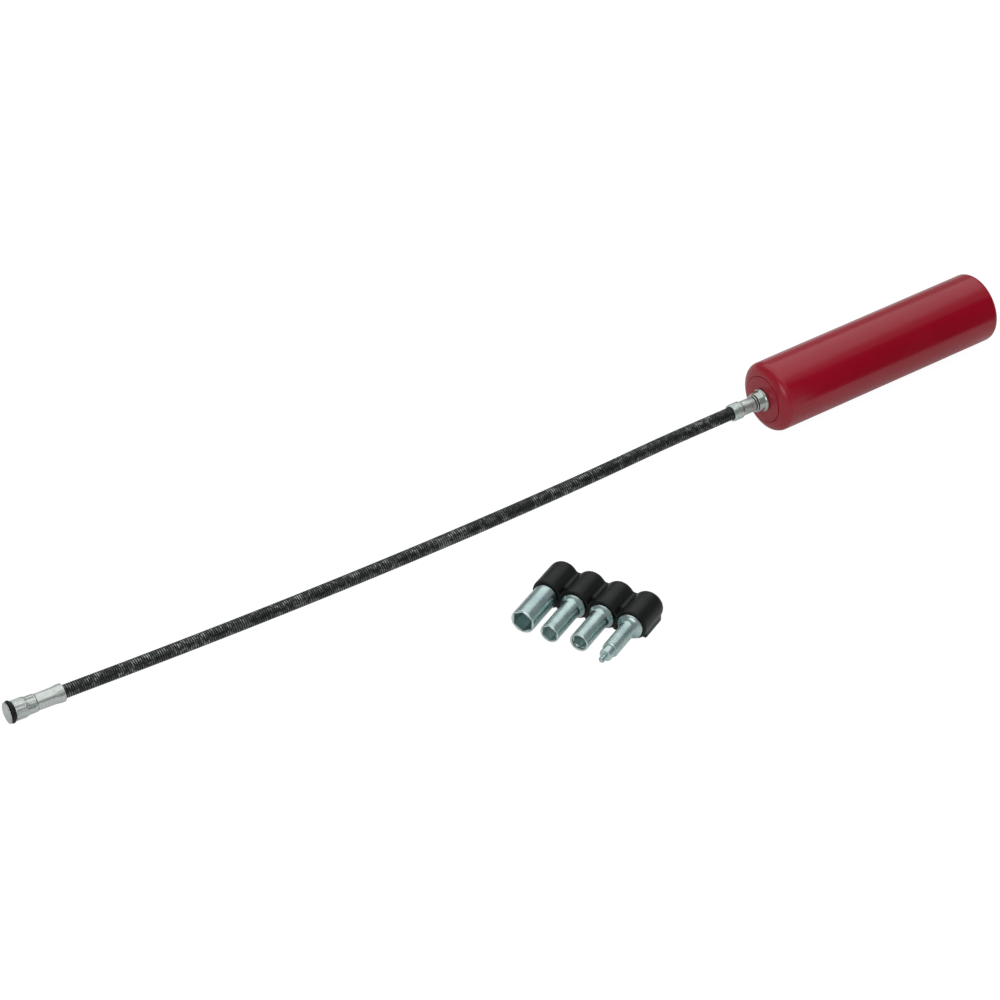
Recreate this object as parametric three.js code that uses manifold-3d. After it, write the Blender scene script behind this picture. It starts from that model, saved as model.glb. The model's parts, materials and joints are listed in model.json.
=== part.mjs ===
// Flexible magnetic pickup tool with a driven socket nose and a strip of spare tips.
// Millimetres, +Z up. The origin is the centre of the handle's flat butt face and the
// handle runs from there along -X; the flexible shaft goes on along -X to the magnet.
import * as THREE from 'three';
import { mergeVertices } from 'three/addons/utils/BufferGeometryUtils.js';
import Module from 'manifold-3d';

const wasm = await Module();
wasm.setup();

// Handle: a blind moulded grip closed at the front by a plug.
const HANDLE_RADIUS = 16;
const HANDLE_LENGTH = 124.2;
const SHOULDER_RADIUS = 5.2;
const BUTT_FILLET = 2.2;
const BUTT_WALL = 8;
const GRIP_BORE = 10.2;
const PLUG_RADIUS = 10.55;
const PLUG_LENGTH = 13.7;
const PLUG_HOLE = 4.2;

// Clearance between neighbouring pieces.
const GAP = 0.3;

// Bearing in the plug, and the rear ferrule that turns in it. Stations along X are
// measured from the front face of the handle, negative towards the magnet.
const BUSH_BORE = 2.95;
const BUSH_SHANK = 3.9;
const BUSH_RIM = 5.2;
const BUSH_END = 15;
const COLLAR_FRONT = -4.6;
const COLLAR_FOOT = -1.6;
const COLLAR_RADIUS = 4.4;
const COLLAR_FOOT_RADIUS = 4.6;
const BUSH_RIM_FRONT = -1;
const EDGE = 0.3;
const WASHER_RADIUS = 3.95;
const WASHER_THICKNESS = 0.6;
const TAIL_RADIUS = 2.65;
const TAIL_END = 18.2;
const CLIP_GROOVE_RADIUS = 2.1;
const CLIP_GROOVE = [15.5, 16.9];
const CLIP_RADIUS = 4.3;
const FERRULE_RADIUS = 3.3;
const FLARE_RADIUS = 3.9;
const FERRULE_SHOULDER = -5.8;
const FLARE_START = -12.9;
const FERRULE_STEP = 0.6;
const FERRULE_MOUTH = -18;
const CUP_DEPTH = 4.8;

// Drive inside the grip: a block fast in the bore holds the square sleeve on the cable.
const BLOCK_FRONT = 20;
const BLOCK_LENGTH = 20;
const BLOCK_RADIUS = 9.9;
const BLOCK_FLOOR = 4;
const ANCHOR_SIDE = 6.8;
const ANCHOR_LENGTH = 15;

// Flexible shaft: a close-wound casing round the drive cable, in straight links that
// hinge on one another so that the shaft can bend.
const CASING_RADIUS = 2.95;
const CASING_BORE = 2;
const CASING_NECK = 2.75;
const CASING_LINKS = 9;
const CASING_LENGTH = 329.4;
const HINGE_GAP = 1.4;
const CABLE_RADIUS = 1.4;
const CABLE_BORE = 1.65;
const CUP_RADIUS = 3.05;

// Route of the shaft at rest: level out of the handle, then sagging and swinging aside
// until the tip ring touches the surface that the handle lies on.
const ROUTE_END = new THREE.Vector3(-346.5, 18.85, -10.73);
const END_SLOPE = new THREE.Vector3(1, -0.0892, 0.012);
const ROUTE_START_PULL = 14.4;
const ROUTE_END_PULL = 178;

// Front fitting. Stations are measured from the magnet's face back towards the handle.
const NOSE_LENGTH = 25.2;
const CAP_RADIUS = 4.6;
const CAP_FLAT = 3.6;
const CAP_THICKNESS = 0.7;
const CAP_CROWN = 0.12;
const CAP_EDGE = 0.2;
const RING_STATION = 1.85;
const RING_MAJOR = 3.95;
const RING_MINOR = 0.95;
const SOCKET_FRONT = 3;
const SOCKET_STEP = 7.8;
const SOCKET_SLOPE = 1.5;
const SOCKET_BACK = 12.9;
const SOCKET_RADIUS = 4.4;
const SOCKET_REAR_RADIUS = 3.88;
const SOCKET_DEPTH = 9.5;
const STEM_RADIUS = 2.45;
const STEM_END = 20.4;
const FRONT_FERRULE_START = 13.3;
const FRONT_FERRULE_BORE = 2.7;
const CRIMP_RADIUS = 3.72;
const CRIMP_APOTHEM = 3.42;
const CRIMP_END = 21.3;
const NOSE_FLARE_RADIUS = 3.95;
const MAGNET_RADIUS = 1.7;
const MAGNET_BORE = 2;
const MAGNET_LENGTH = 8.2;
const NECK_RADIUS = 2.7;
const FINGERS = 6;
const FINGER_TURN = THREE.MathUtils.degToRad(10);
const SLIT_WIDTH = 0.8;
const SLIT_LENGTH = 4;
const SLIT_DEPTH = 1.5;
const SLIT_INSET = 0.7;
const FLUTES = 12;
const FLUTE_WIDTH = 1;
const FLUTE_DEPTH = 0.3;
const FLUTE_INSET = 0.4;
const FLARE_SLOPE = 2.2;
const RIM_CHAMFER = 0.2;
const CRIMP_TURN = THREE.MathUtils.degToRad(-5);

// Hexagonal shank shared by the magnet and every spare tip, and the drive it fits.
const SHANK_FLATS = 5.1;
const DRIVE_FLATS = 5.7;
const SHANK_LENGTH = 12;

// Strip of spare tips, lying beside the shaft. The strip's X axis is the tips' axis,
// pointing out of the pockets, and its origin is the mouth of the first pocket.
const STRIP_X = -152.2;
const STRIP_Y = -45.6;
const STRIP_TURN = THREE.MathUtils.degToRad(204.5);
const POCKET_PITCH = 13.24;
const POCKETS = 4;
const POCKET_RADIUS = 6.8;
const POCKET_LENGTH = 18;
const POCKET_BACK_ROUND = 3.6;
const POCKET_BORE = 3.3;
const WEB_HEIGHT = 10.4;
const WEB_FRONT = -1.8;
const WEB_BACK = -16.5;
const BASE_FRONT = -3;
const BASE_BACK = -16.8;
const BASE_OVERHANG = 6;
const BASE_HEIGHT = 3.4;

// Spare tips: sizes across flats and round, and stations from the mouth of the pocket.
const LARGE_TIP = { radius: 5.4, end: 20.3, flats: 8.2, floor: 8.6, edge: 0.3 };
const MEDIUM_TIP = { flange: 5.5, barrel: 4.2, end: 21.6, flats: 6.3, floor: 11 };
const SMALL_TIP = { flange: 5.5, barrel: 4.2, end: 20.6, flats: 5.8, floor: 10 };
const SMALL_RECESS = { radius: 3.3, floor: 19.4 };
const PIN_PROFILE = [
  [0, GAP], [5.6, GAP], [5.6, 1.2], [4.1, 2.5], [3.5, 3.8], [3.5, 18.3], [2.9, 18.6],
  [2.75, 18.8], [2.75, 22.2], [2.6, 22.5], [1.9, 22.75], [1.1, 22.85], [1, 24.3],
  [1.3, 24.8], [1.4, 25.4], [1.05, 26.3], [0, 26.75],
];

const RED_PLASTIC = { color: 0x8c1423, roughness: 0.28, metalness: 0 };
const ZINC = { color: 0x92a3a0, roughness: 0.35, metalness: 1 };
const NICKEL = { color: 0xc9ccc8, roughness: 0.18, metalness: 1 };
const BLACK_STEEL = { color: 0x2b2d2c, roughness: 0.45, metalness: 0.6 };
const CABLE_STEEL = { color: 0x8f9290, roughness: 0.5, metalness: 1 };
const BRONZE = { color: 0xa07a4a, roughness: 0.4, metalness: 1 };
const BLACK_RUBBER = { color: 0x1d1f1e, roughness: 0.6, metalness: 0 };
const MAGNET_GREY = { color: 0x6f7173, roughness: 0.5, metalness: 0.8 };

const model = new THREE.Group();

// Adds a named piece to a group.
function addPiece(parent, name, geometry, finish) {
  const mesh = new THREE.Mesh(geometry, new THREE.MeshStandardMaterial(finish));
  mesh.name = name;
  parent.add(mesh);
  return mesh;
}

// Turns [radius, station] pairs into a solid of revolution about X. The pairs go round
// the section with the material on their left, from axis to axis or back to the start.
function turned(profile, sides = 24) {
  const points = profile.map(([radius, station]) => new THREE.Vector2(radius, station));
  const geometry = new THREE.LatheGeometry(points, sides);
  geometry.rotateZ(-Math.PI / 2);
  return geometry;
}

// A ring or tube of rectangular section.
function tube(inner, outer, from, to, sides = 24) {
  return turned([[inner, from], [outer, from], [outer, to], [inner, to], [inner, from]], sides);
}

function rod(radius, from, to, sides = 24) {
  return turned([[0, from], [radius, from], [radius, to], [0, to]], sides);
}

// Extrudes a plane outline along X, from one station to another.
function prism(outline, from, to, curveSegments = 8) {
  const options = { depth: to - from, bevelEnabled: false, curveSegments };
  const geometry = new THREE.ExtrudeGeometry(outline, options);
  geometry.rotateY(Math.PI / 2);
  geometry.translate(from, 0, 0);
  return geometry;
}

function hexagon(acrossFlats) {
  const corner = acrossFlats / Math.sqrt(3);
  const shape = new THREE.Shape();
  for (let side = 0; side < 6; side += 1) {
    const angle = (side + 0.5) * Math.PI / 3;
    const x = corner * Math.cos(angle);
    const y = corner * Math.sin(angle);
    if (side === 0) {
      shape.moveTo(x, y);
    } else {
      shape.lineTo(x, y);
    }
  }
  shape.closePath();
  return shape;
}

function hexRod(acrossFlats, from, to) {
  return prism(hexagon(acrossFlats), from, to);
}

function block(sizeX, sizeY, sizeZ, x, y, z) {
  const geometry = new THREE.BoxGeometry(sizeX, sizeY, sizeZ);
  geometry.translate(x, y, z);
  return geometry;
}

// Solids for joining and cutting, and back again.
function solid(geometry) {
  const bare = geometry.clone();
  bare.deleteAttribute('normal');
  bare.deleteAttribute('uv');
  const merged = mergeVertices(bare, 1e-4);
  const mesh = new wasm.Mesh({
    numProp: 3,
    vertProperties: new Float32Array(merged.attributes.position.array),
    triVerts: new Uint32Array(merged.index.array),
  });
  return new wasm.Manifold(mesh);
}

function shell(manifold) {
  const mesh = manifold.getMesh();
  const geometry = new THREE.BufferGeometry();
  geometry.setAttribute('position', new THREE.BufferAttribute(mesh.vertProperties, 3));
  geometry.setIndex(new THREE.BufferAttribute(mesh.triVerts, 1));
  return geometry;
}

function joined(...geometries) {
  return shell(geometries.map(solid).reduce((whole, piece) => whole.add(piece)));
}

function cut(body, ...tools) {
  return shell(tools.map(solid).reduce((whole, tool) => whole.subtract(tool), solid(body)));
}

// Points of a quarter circle on a turned section.
function quarter(centreRadius, centreStation, size, fromAngle, steps = 6) {
  const points = [];
  for (let step = 0; step <= steps; step += 1) {
    const angle = fromAngle + (step / steps) * Math.PI / 2;
    points.push([centreRadius + size * Math.cos(angle), centreStation + size * Math.sin(angle)]);
  }
  return points;
}

// An open retaining ring.
function snapRing(inner, outer, from, to) {
  const mouth = Math.PI / 5;
  const shape = new THREE.Shape();
  shape.absarc(0, 0, outer, mouth, 2 * Math.PI - mouth, false);
  shape.absarc(0, 0, inner, 2 * Math.PI - mouth, mouth, true);
  shape.closePath();
  return prism(shape, from, to, 12);
}

// --- Handle -------------------------------------------------------------------------
const face = new THREE.Group();
face.position.x = -HANDLE_LENGTH;
model.add(face);

const plugSeat = PLUG_LENGTH + GAP;
addPiece(face, 'handle_shell', turned([
  [0, HANDLE_LENGTH - BUTT_WALL],
  [GRIP_BORE, HANDLE_LENGTH - BUTT_WALL],
  [GRIP_BORE, plugSeat],
  [PLUG_RADIUS + GAP, plugSeat],
  [PLUG_RADIUS + GAP, 0],
  ...quarter(HANDLE_RADIUS - SHOULDER_RADIUS, SHOULDER_RADIUS, SHOULDER_RADIUS, -Math.PI / 2),
  ...quarter(HANDLE_RADIUS - BUTT_FILLET, HANDLE_LENGTH - BUTT_FILLET, BUTT_FILLET, 0, 4),
  [0, HANDLE_LENGTH],
], 40), RED_PLASTIC);

addPiece(face, 'handle_plug', tube(PLUG_HOLE, PLUG_RADIUS, 0, PLUG_LENGTH, 40), RED_PLASTIC);

addPiece(face, 'bearing_bush', turned([
  [BUSH_BORE, COLLAR_FRONT],
  [COLLAR_RADIUS - EDGE, COLLAR_FRONT],
  [COLLAR_RADIUS, COLLAR_FRONT + EDGE],
  [COLLAR_FOOT_RADIUS, COLLAR_FOOT],
  [BUSH_RIM, BUSH_RIM_FRONT],
  [BUSH_RIM, -GAP],
  [BUSH_SHANK, -GAP],
  [BUSH_SHANK, BUSH_END],
  [BUSH_BORE, BUSH_END],
  [BUSH_BORE, COLLAR_FRONT],
]), NICKEL);

const washerBack = COLLAR_FRONT - GAP;
addPiece(face, 'thrust_washer',
  tube(BUSH_BORE, WASHER_RADIUS, washerBack - WASHER_THICKNESS, washerBack), NICKEL);

const pocketSide = ANCHOR_SIDE + 2 * GAP;
const pocketDepth = BLOCK_LENGTH - BLOCK_FLOOR;
addPiece(face, 'drive_block', cut(
  rod(BLOCK_RADIUS, BLOCK_FRONT, BLOCK_FRONT + BLOCK_LENGTH),
  block(2 * pocketDepth, pocketSide, pocketSide, BLOCK_FRONT, 0, 0),
), BRONZE);

const anchorOutline = new THREE.Shape();
const half = ANCHOR_SIDE / 2;
anchorOutline.moveTo(-half, -half);
anchorOutline.lineTo(half, -half);
anchorOutline.lineTo(half, half);
anchorOutline.lineTo(-half, half);
anchorOutline.closePath();
const cableHole = new THREE.Path();
cableHole.absarc(0, 0, CABLE_BORE, 0, 2 * Math.PI, true);
anchorOutline.holes.push(cableHole);
const anchorFront = BLOCK_FRONT + GAP;
addPiece(face, 'cable_anchor',
  prism(anchorOutline, anchorFront, anchorFront + ANCHOR_LENGTH), CABLE_STEEL);

const cupBottom = FERRULE_MOUTH + CUP_DEPTH;
addPiece(face, 'cable_rear',
  rod(CABLE_RADIUS, cupBottom, anchorFront + ANCHOR_LENGTH, 12), CABLE_STEEL);

// --- Rear ferrule -------------------------------------------------------------------
addPiece(face, 'rear_ferrule', turned([
  [CUP_RADIUS, FERRULE_MOUTH],
  [FLARE_RADIUS - EDGE / 2, FERRULE_MOUTH],
  [FLARE_RADIUS, FERRULE_MOUTH + EDGE],
  [FLARE_RADIUS, FLARE_START],
  [FERRULE_RADIUS, FLARE_START + FERRULE_STEP],
  [FERRULE_RADIUS, FERRULE_SHOULDER],
  [TAIL_RADIUS, FERRULE_SHOULDER],
  [TAIL_RADIUS, CLIP_GROOVE[0]],
  [CLIP_GROOVE_RADIUS, CLIP_GROOVE[0]],
  [CLIP_GROOVE_RADIUS, CLIP_GROOVE[1]],
  [TAIL_RADIUS, CLIP_GROOVE[1]],
  [TAIL_RADIUS, TAIL_END],
  [CABLE_BORE, TAIL_END],
  [CABLE_BORE, cupBottom],
  [CUP_RADIUS, cupBottom],
  [CUP_RADIUS, FERRULE_MOUTH],
]), ZINC);

addPiece(face, 'ferrule_clip', snapRing(CLIP_GROOVE_RADIUS + GAP, CLIP_RADIUS,
  CLIP_GROOVE[0] + GAP, CLIP_GROOVE[1] - GAP), ZINC);

// --- Flexible shaft -----------------------------------------------------------------
// Hinge points: the first link is straight out of the ferrule, the rest follow the route.
const linkLength = CASING_LENGTH / CASING_LINKS;
const routeStart = new THREE.Vector3(FERRULE_MOUTH - linkLength, 0, 0);
const route = new THREE.CubicBezierCurve3(
  routeStart,
  routeStart.clone().add(new THREE.Vector3(-ROUTE_START_PULL, 0, 0)),
  ROUTE_END.clone().addScaledVector(END_SLOPE, ROUTE_END_PULL),
  ROUTE_END,
);
const hinges = [new THREE.Vector3(FERRULE_MOUTH, 0, 0)];
for (let link = 0; link < CASING_LINKS; link += 1) {
  hinges.push(route.getPointAt(link / (CASING_LINKS - 1)));
}

// A frame with its origin at one point and its X axis pointing to another.
function pointing(from, to) {
  const frame = new THREE.Group();
  frame.position.copy(from);
  const direction = to.clone().sub(from).normalize();
  const turn = Math.atan2(direction.y, direction.x);
  const rise = Math.asin(direction.z);
  frame.rotation.set(0, -rise, turn, 'ZYX');
  return frame;
}

// Each link's frame sits on its forward hinge, with X pointing back to the handle.
for (let link = 1; link <= CASING_LINKS; link += 1) {
  const forward = hinges[link];
  const frame = pointing(forward, hinges[link - 1]);
  const length = forward.distanceTo(hinges[link - 1]);
  const first = link === 1;
  const last = link === CASING_LINKS;
  const front = last ? -(NOSE_LENGTH - CRIMP_END) : HINGE_GAP / 2;
  const back = first ? length + CUP_DEPTH - GAP : length - HINGE_GAP / 2;
  const neckFront = last ? GAP : front;
  const neckBack = first ? length - GAP : back;
  const outline = [[CASING_BORE, front]];
  if (last) {
    outline.push([CASING_NECK, front], [CASING_NECK, neckFront]);
  }
  outline.push([CASING_RADIUS, neckFront], [CASING_RADIUS, neckBack]);
  if (first) {
    outline.push([CASING_NECK, neckBack], [CASING_NECK, back]);
  }
  outline.push([CASING_BORE, back], [CASING_BORE, front]);
  addPiece(frame, `casing_${link}`, turned(outline, 16), BLACK_STEEL);

  const cableFront = last ? -(NOSE_LENGTH - SOCKET_BACK - 2 * HINGE_GAP) : HINGE_GAP / 2;
  const cableBack = first ? back - HINGE_GAP / 2 : back;
  addPiece(frame, `cable_${link}`, rod(CABLE_RADIUS, cableFront, cableBack, 12), CABLE_STEEL);
  face.add(frame);
}

// --- Front fitting ------------------------------------------------------------------
const lastHinge = hinges[CASING_LINKS - 1];
const mouth = hinges[CASING_LINKS];
const forwardAxis = mouth.clone().sub(lastHinge).normalize();
const magnetFace = mouth.clone().addScaledVector(forwardAxis, NOSE_LENGTH);
const nose = pointing(magnetFace, mouth);
face.add(nose);

const ferruleBody = turned([
  [FRONT_FERRULE_BORE, FRONT_FERRULE_START],
  [CRIMP_RADIUS, FRONT_FERRULE_START],
  [CRIMP_RADIUS, CRIMP_END],
  [NOSE_FLARE_RADIUS, CRIMP_END + FLARE_SLOPE],
  [NOSE_FLARE_RADIUS, NOSE_LENGTH - RIM_CHAMFER],
  [NOSE_FLARE_RADIUS - RIM_CHAMFER, NOSE_LENGTH],
  [CUP_RADIUS, NOSE_LENGTH],
  [CUP_RADIUS, CRIMP_END - GAP],
  [FRONT_FERRULE_BORE, CRIMP_END - GAP],
  [FRONT_FERRULE_BORE, FRONT_FERRULE_START],
]);
const crimpTools = [];
const crimpLength = CRIMP_END - FRONT_FERRULE_START;
for (let side = 0; side < 6; side += 1) {
  const flat = block(2 * crimpLength, 2, 6, CRIMP_END - crimpLength, CRIMP_APOTHEM + 1, 0);
  flat.rotateX(CRIMP_TURN + side * Math.PI / 3);
  crimpTools.push(flat);
}
addPiece(nose, 'front_ferrule', cut(ferruleBody, ...crimpTools), ZINC);

// The socket turns in the front ferrule. Its wall is slit into spring fingers.
const socketBody = turned([
  [0, SOCKET_FRONT],
  [SOCKET_RADIUS - EDGE, SOCKET_FRONT],
  [SOCKET_RADIUS, SOCKET_FRONT + EDGE],
  [SOCKET_RADIUS, SOCKET_STEP],
  [SOCKET_REAR_RADIUS, SOCKET_STEP + SOCKET_SLOPE],
  [SOCKET_REAR_RADIUS, SOCKET_BACK],
  [STEM_RADIUS, SOCKET_BACK],
  [STEM_RADIUS, STEM_END],
  [CABLE_BORE, STEM_END],
  [CABLE_BORE, SOCKET_BACK + HINGE_GAP],
  [0, SOCKET_BACK + HINGE_GAP],
]);
const socketTools = [hexRod(DRIVE_FLATS, SOCKET_FRONT - 1, SOCKET_FRONT + SOCKET_DEPTH)];
const slitMiddle = SOCKET_BACK - SLIT_LENGTH / 2 - SLIT_INSET;
for (let finger = 0; finger < FINGERS; finger += 1) {
  const slit = block(SLIT_LENGTH, SLIT_WIDTH, 2 * SLIT_DEPTH, slitMiddle, 0, SOCKET_REAR_RADIUS);
  slit.rotateX(FINGER_TURN + finger * 2 * Math.PI / FINGERS);
  socketTools.push(slit);
}
const fluteLength = SOCKET_STEP - SOCKET_FRONT;
const fluteMiddle = SOCKET_FRONT + fluteLength / 2 - FLUTE_INSET;
for (let flute = 0; flute < FLUTES; flute += 1) {
  const groove = block(fluteLength, FLUTE_WIDTH, 2 * FLUTE_DEPTH, fluteMiddle, 0, SOCKET_RADIUS);
  groove.rotateX(FINGER_TURN + flute * 2 * Math.PI / FLUTES);
  socketTools.push(groove);
}
addPiece(nose, 'socket_sleeve', cut(socketBody, ...socketTools), ZINC);

// The magnet tip: shank, core, pole cap and ring pull out of the socket together.
const shankFront = CAP_THICKNESS + GAP;
const tipShank = joined(
  rod(NECK_RADIUS, shankFront, SOCKET_FRONT + GAP, 20),
  hexRod(SHANK_FLATS, SOCKET_FRONT, SOCKET_FRONT + SOCKET_DEPTH - 2 * GAP),
);
const coreBore = rod(MAGNET_BORE, shankFront - 1, shankFront + MAGNET_LENGTH + GAP, 16);
addPiece(nose, 'tip_shank', cut(tipShank, coreBore), ZINC);
addPiece(nose, 'magnet_core',
  rod(MAGNET_RADIUS, shankFront, shankFront + MAGNET_LENGTH - GAP, 16), MAGNET_GREY);
addPiece(nose, 'pole_cap', turned([
  [0, 0],
  [CAP_FLAT, 0],
  [CAP_RADIUS - CAP_EDGE, CAP_CROWN],
  [CAP_RADIUS, CAP_CROWN + CAP_EDGE],
  [CAP_RADIUS, CAP_THICKNESS],
  [0, CAP_THICKNESS],
], 32), NICKEL);
const ringSection = [];
for (let step = 0; step <= 8; step += 1) {
  const angle = step * Math.PI / 4;
  const radius = RING_MAJOR + RING_MINOR * Math.cos(angle);
  ringSection.push([radius, RING_STATION + RING_MINOR * Math.sin(angle)]);
}
addPiece(nose, 'tip_o_ring', turned(ringSection, 24), BLACK_RUBBER);

// --- Strip of spare tips ------------------------------------------------------------
const strip = new THREE.Group();
strip.position.set(STRIP_X, STRIP_Y, POCKET_RADIUS - HANDLE_RADIUS);
strip.rotation.z = STRIP_TURN;
face.add(strip);

const pocketOutline = [
  [0, -POCKET_LENGTH],
  ...quarter(POCKET_RADIUS - POCKET_BACK_ROUND, POCKET_BACK_ROUND - POCKET_LENGTH,
    POCKET_BACK_ROUND, -Math.PI / 2, 3),
  [POCKET_RADIUS, 0],
  [0, 0],
];
const stripSpan = (POCKETS - 1) * POCKET_PITCH;
const stripParts = [
  block(WEB_FRONT - WEB_BACK, stripSpan, WEB_HEIGHT,
    (WEB_FRONT + WEB_BACK) / 2, stripSpan / 2, WEB_HEIGHT / 2 - POCKET_RADIUS),
  block(BASE_FRONT - BASE_BACK, stripSpan + 2 * BASE_OVERHANG, BASE_HEIGHT,
    (BASE_FRONT + BASE_BACK) / 2, stripSpan / 2, BASE_HEIGHT / 2 - POCKET_RADIUS),
];
const pocketTools = [];
for (let pocket = 0; pocket < POCKETS; pocket += 1) {
  const wall = turned(pocketOutline, 24);
  wall.translate(0, pocket * POCKET_PITCH, 0);
  stripParts.push(wall);
  const hole = rod(POCKET_BORE, -(SHANK_LENGTH + 2 * GAP), 1, 20);
  hole.translate(0, pocket * POCKET_PITCH, 0);
  pocketTools.push(hole);
}
addPiece(strip, 'tip_holder', cut(joined(...stripParts), ...pocketTools), BLACK_RUBBER);

// A spare tip: a turned head on the hexagonal shank, with an optional hexagonal socket.
function spareTip(name, pocket, headProfile, cutters) {
  const whole = joined(turned(headProfile, 24), hexRod(SHANK_FLATS, -SHANK_LENGTH, 1));
  const mesh = addPiece(strip, name, cutters.length ? cut(whole, ...cutters) : whole, ZINC);
  mesh.position.y = pocket * POCKET_PITCH;
}

// Head with a flange that flares down to a plain barrel, and its hexagonal bore.
function flangedTip(name, pocket, tip, ...cutters) {
  const { flange, barrel, end } = tip;
  const profile = [[0, GAP], [flange, GAP], [flange, 1.2], [barrel + 0.5, 2.2], [barrel, 3.4],
    [barrel, end - EDGE], [barrel - EDGE, end], [0, end]];
  spareTip(name, pocket, profile, [hexRod(tip.flats, tip.floor, end + 1), ...cutters]);
}

spareTip('large_socket_tip', 0, [
  [0, GAP],
  [LARGE_TIP.radius - LARGE_TIP.edge, GAP],
  [LARGE_TIP.radius, GAP + LARGE_TIP.edge],
  [LARGE_TIP.radius, LARGE_TIP.end - LARGE_TIP.edge],
  [LARGE_TIP.radius - LARGE_TIP.edge, LARGE_TIP.end],
  [0, LARGE_TIP.end],
], [hexRod(LARGE_TIP.flats, LARGE_TIP.floor, LARGE_TIP.end + 1)]);
flangedTip('medium_socket_tip', 1, MEDIUM_TIP);
flangedTip('small_socket_tip', 2, SMALL_TIP,
  rod(SMALL_RECESS.radius, SMALL_RECESS.floor, SMALL_TIP.end + 1, 20));
spareTip('pin_tip', 3, PIN_PROFILE, []);

export default model;
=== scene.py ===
"""Looks of the flexible magnetic pickup tool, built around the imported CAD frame."""

import json
import math

import bmesh
import bpy
import numpy as np
from mathutils import Matrix, Vector


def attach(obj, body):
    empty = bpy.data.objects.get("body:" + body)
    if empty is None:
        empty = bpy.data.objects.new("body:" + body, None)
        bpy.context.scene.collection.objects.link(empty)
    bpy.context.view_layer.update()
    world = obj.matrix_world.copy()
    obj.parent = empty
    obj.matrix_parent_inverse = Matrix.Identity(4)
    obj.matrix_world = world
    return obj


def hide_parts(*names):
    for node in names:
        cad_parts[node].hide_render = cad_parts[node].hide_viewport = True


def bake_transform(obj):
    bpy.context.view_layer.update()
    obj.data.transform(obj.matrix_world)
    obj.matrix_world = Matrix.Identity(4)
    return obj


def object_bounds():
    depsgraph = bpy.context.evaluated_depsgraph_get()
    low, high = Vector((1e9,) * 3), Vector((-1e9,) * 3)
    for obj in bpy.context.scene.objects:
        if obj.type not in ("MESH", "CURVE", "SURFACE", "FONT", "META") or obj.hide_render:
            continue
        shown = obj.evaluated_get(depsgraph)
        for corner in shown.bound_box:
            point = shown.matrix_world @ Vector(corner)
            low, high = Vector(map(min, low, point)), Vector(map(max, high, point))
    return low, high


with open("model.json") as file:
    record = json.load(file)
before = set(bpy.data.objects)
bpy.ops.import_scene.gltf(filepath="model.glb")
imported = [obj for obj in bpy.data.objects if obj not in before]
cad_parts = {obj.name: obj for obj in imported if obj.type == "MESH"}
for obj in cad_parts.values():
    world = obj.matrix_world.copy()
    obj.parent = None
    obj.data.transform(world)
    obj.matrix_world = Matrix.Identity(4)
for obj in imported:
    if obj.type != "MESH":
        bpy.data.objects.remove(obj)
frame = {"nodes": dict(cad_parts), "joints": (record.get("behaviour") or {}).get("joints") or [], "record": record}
cad_low, cad_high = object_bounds()
nodes = frame["nodes"]
joints = {joint["name"]: joint for joint in frame["joints"]}
mounts = {mount["name"]: mount for mount in frame["record"]["mounts"]}

MM = 0.001
rng = np.random.default_rng(7)

# ------------------------------------------------------------------ camera and stage
# The camera stands where the photograph was taken from, in the row frame.
CAMERA_PLACE = Vector((-1.065045, -1.070696, 1.027408))
CAMERA_AZIMUTH = math.radians(-36.702)
CAMERA_ELEVATION = math.radians(37.361)
CAMERA_ROLL = math.radians(0.753)
CAMERA_LENS = 144.0

FLOOR_HEIGHT = cad_low.z
FLOOR_GLOW = 0.97
BOUNCE_GLOW = 0.2
FLOOR_REACH = 6.0
FLOOR_GAP = 0.0002
WORLD_STRENGTH = 0.3
# The dark card's left edge, nearness, right edge and top.
CARD = (-0.060, -0.082, 0.2, 0.084)
# The nose light's place from the point that it is aimed at, behind the disc.
NOSE_CARD = (0.031, -0.090, 0.102)
NOSE_CARD_AIM = 0.012
NOSE_CARD_POWER = 0.006


def make_camera():
    """The photograph's own camera, turned by azimuth, elevation and roll."""
    az, el, roll = CAMERA_AZIMUTH, CAMERA_ELEVATION, CAMERA_ROLL
    back = Vector((math.sin(az) * math.cos(el), -math.cos(az) * math.cos(el), math.sin(el)))
    right = Vector((math.cos(az), math.sin(az), 0))
    up = back.cross(right)
    tilted_right = right * math.cos(roll) + up * math.sin(roll)
    tilted_up = up * math.cos(roll) - right * math.sin(roll)
    data = bpy.data.cameras.new("camera")
    data.lens = CAMERA_LENS
    data.sensor_width = 36
    data.clip_start = 0.05
    data.clip_end = 20
    camera = bpy.data.objects.new("camera", data)
    bpy.context.scene.collection.objects.link(camera)
    turn = Matrix((tilted_right, tilted_up, back)).transposed().to_4x4()
    camera.matrix_world = Matrix.Translation(CAMERA_PLACE) @ turn
    bpy.context.scene.camera = camera


def area_light(name, place, target, size, power, size_y=None):
    """A soft light at a place, facing a target."""
    data = bpy.data.lights.new(name, "AREA")
    data.energy = power
    data.size = size
    if size_y:
        data.shape = "RECTANGLE"
        data.size_y = size_y
    light = bpy.data.objects.new(name, data)
    bpy.context.scene.collection.objects.link(light)
    place = Vector(place)
    light.location = place
    light.rotation_euler = (Vector(target) - place).to_track_quat("-Z", "Y").to_euler()
    return light


def flat_sheet(name, corners, material):
    """A four-cornered sheet of the studio, not of the object."""
    mesh = bpy.data.meshes.new(name)
    mesh.from_pydata(corners, [], [(0, 1, 2, 3)])
    mesh.materials.append(material)
    sheet = bpy.data.objects.new(name, mesh)
    bpy.context.scene.collection.objects.link(sheet)
    return sheet


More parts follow.
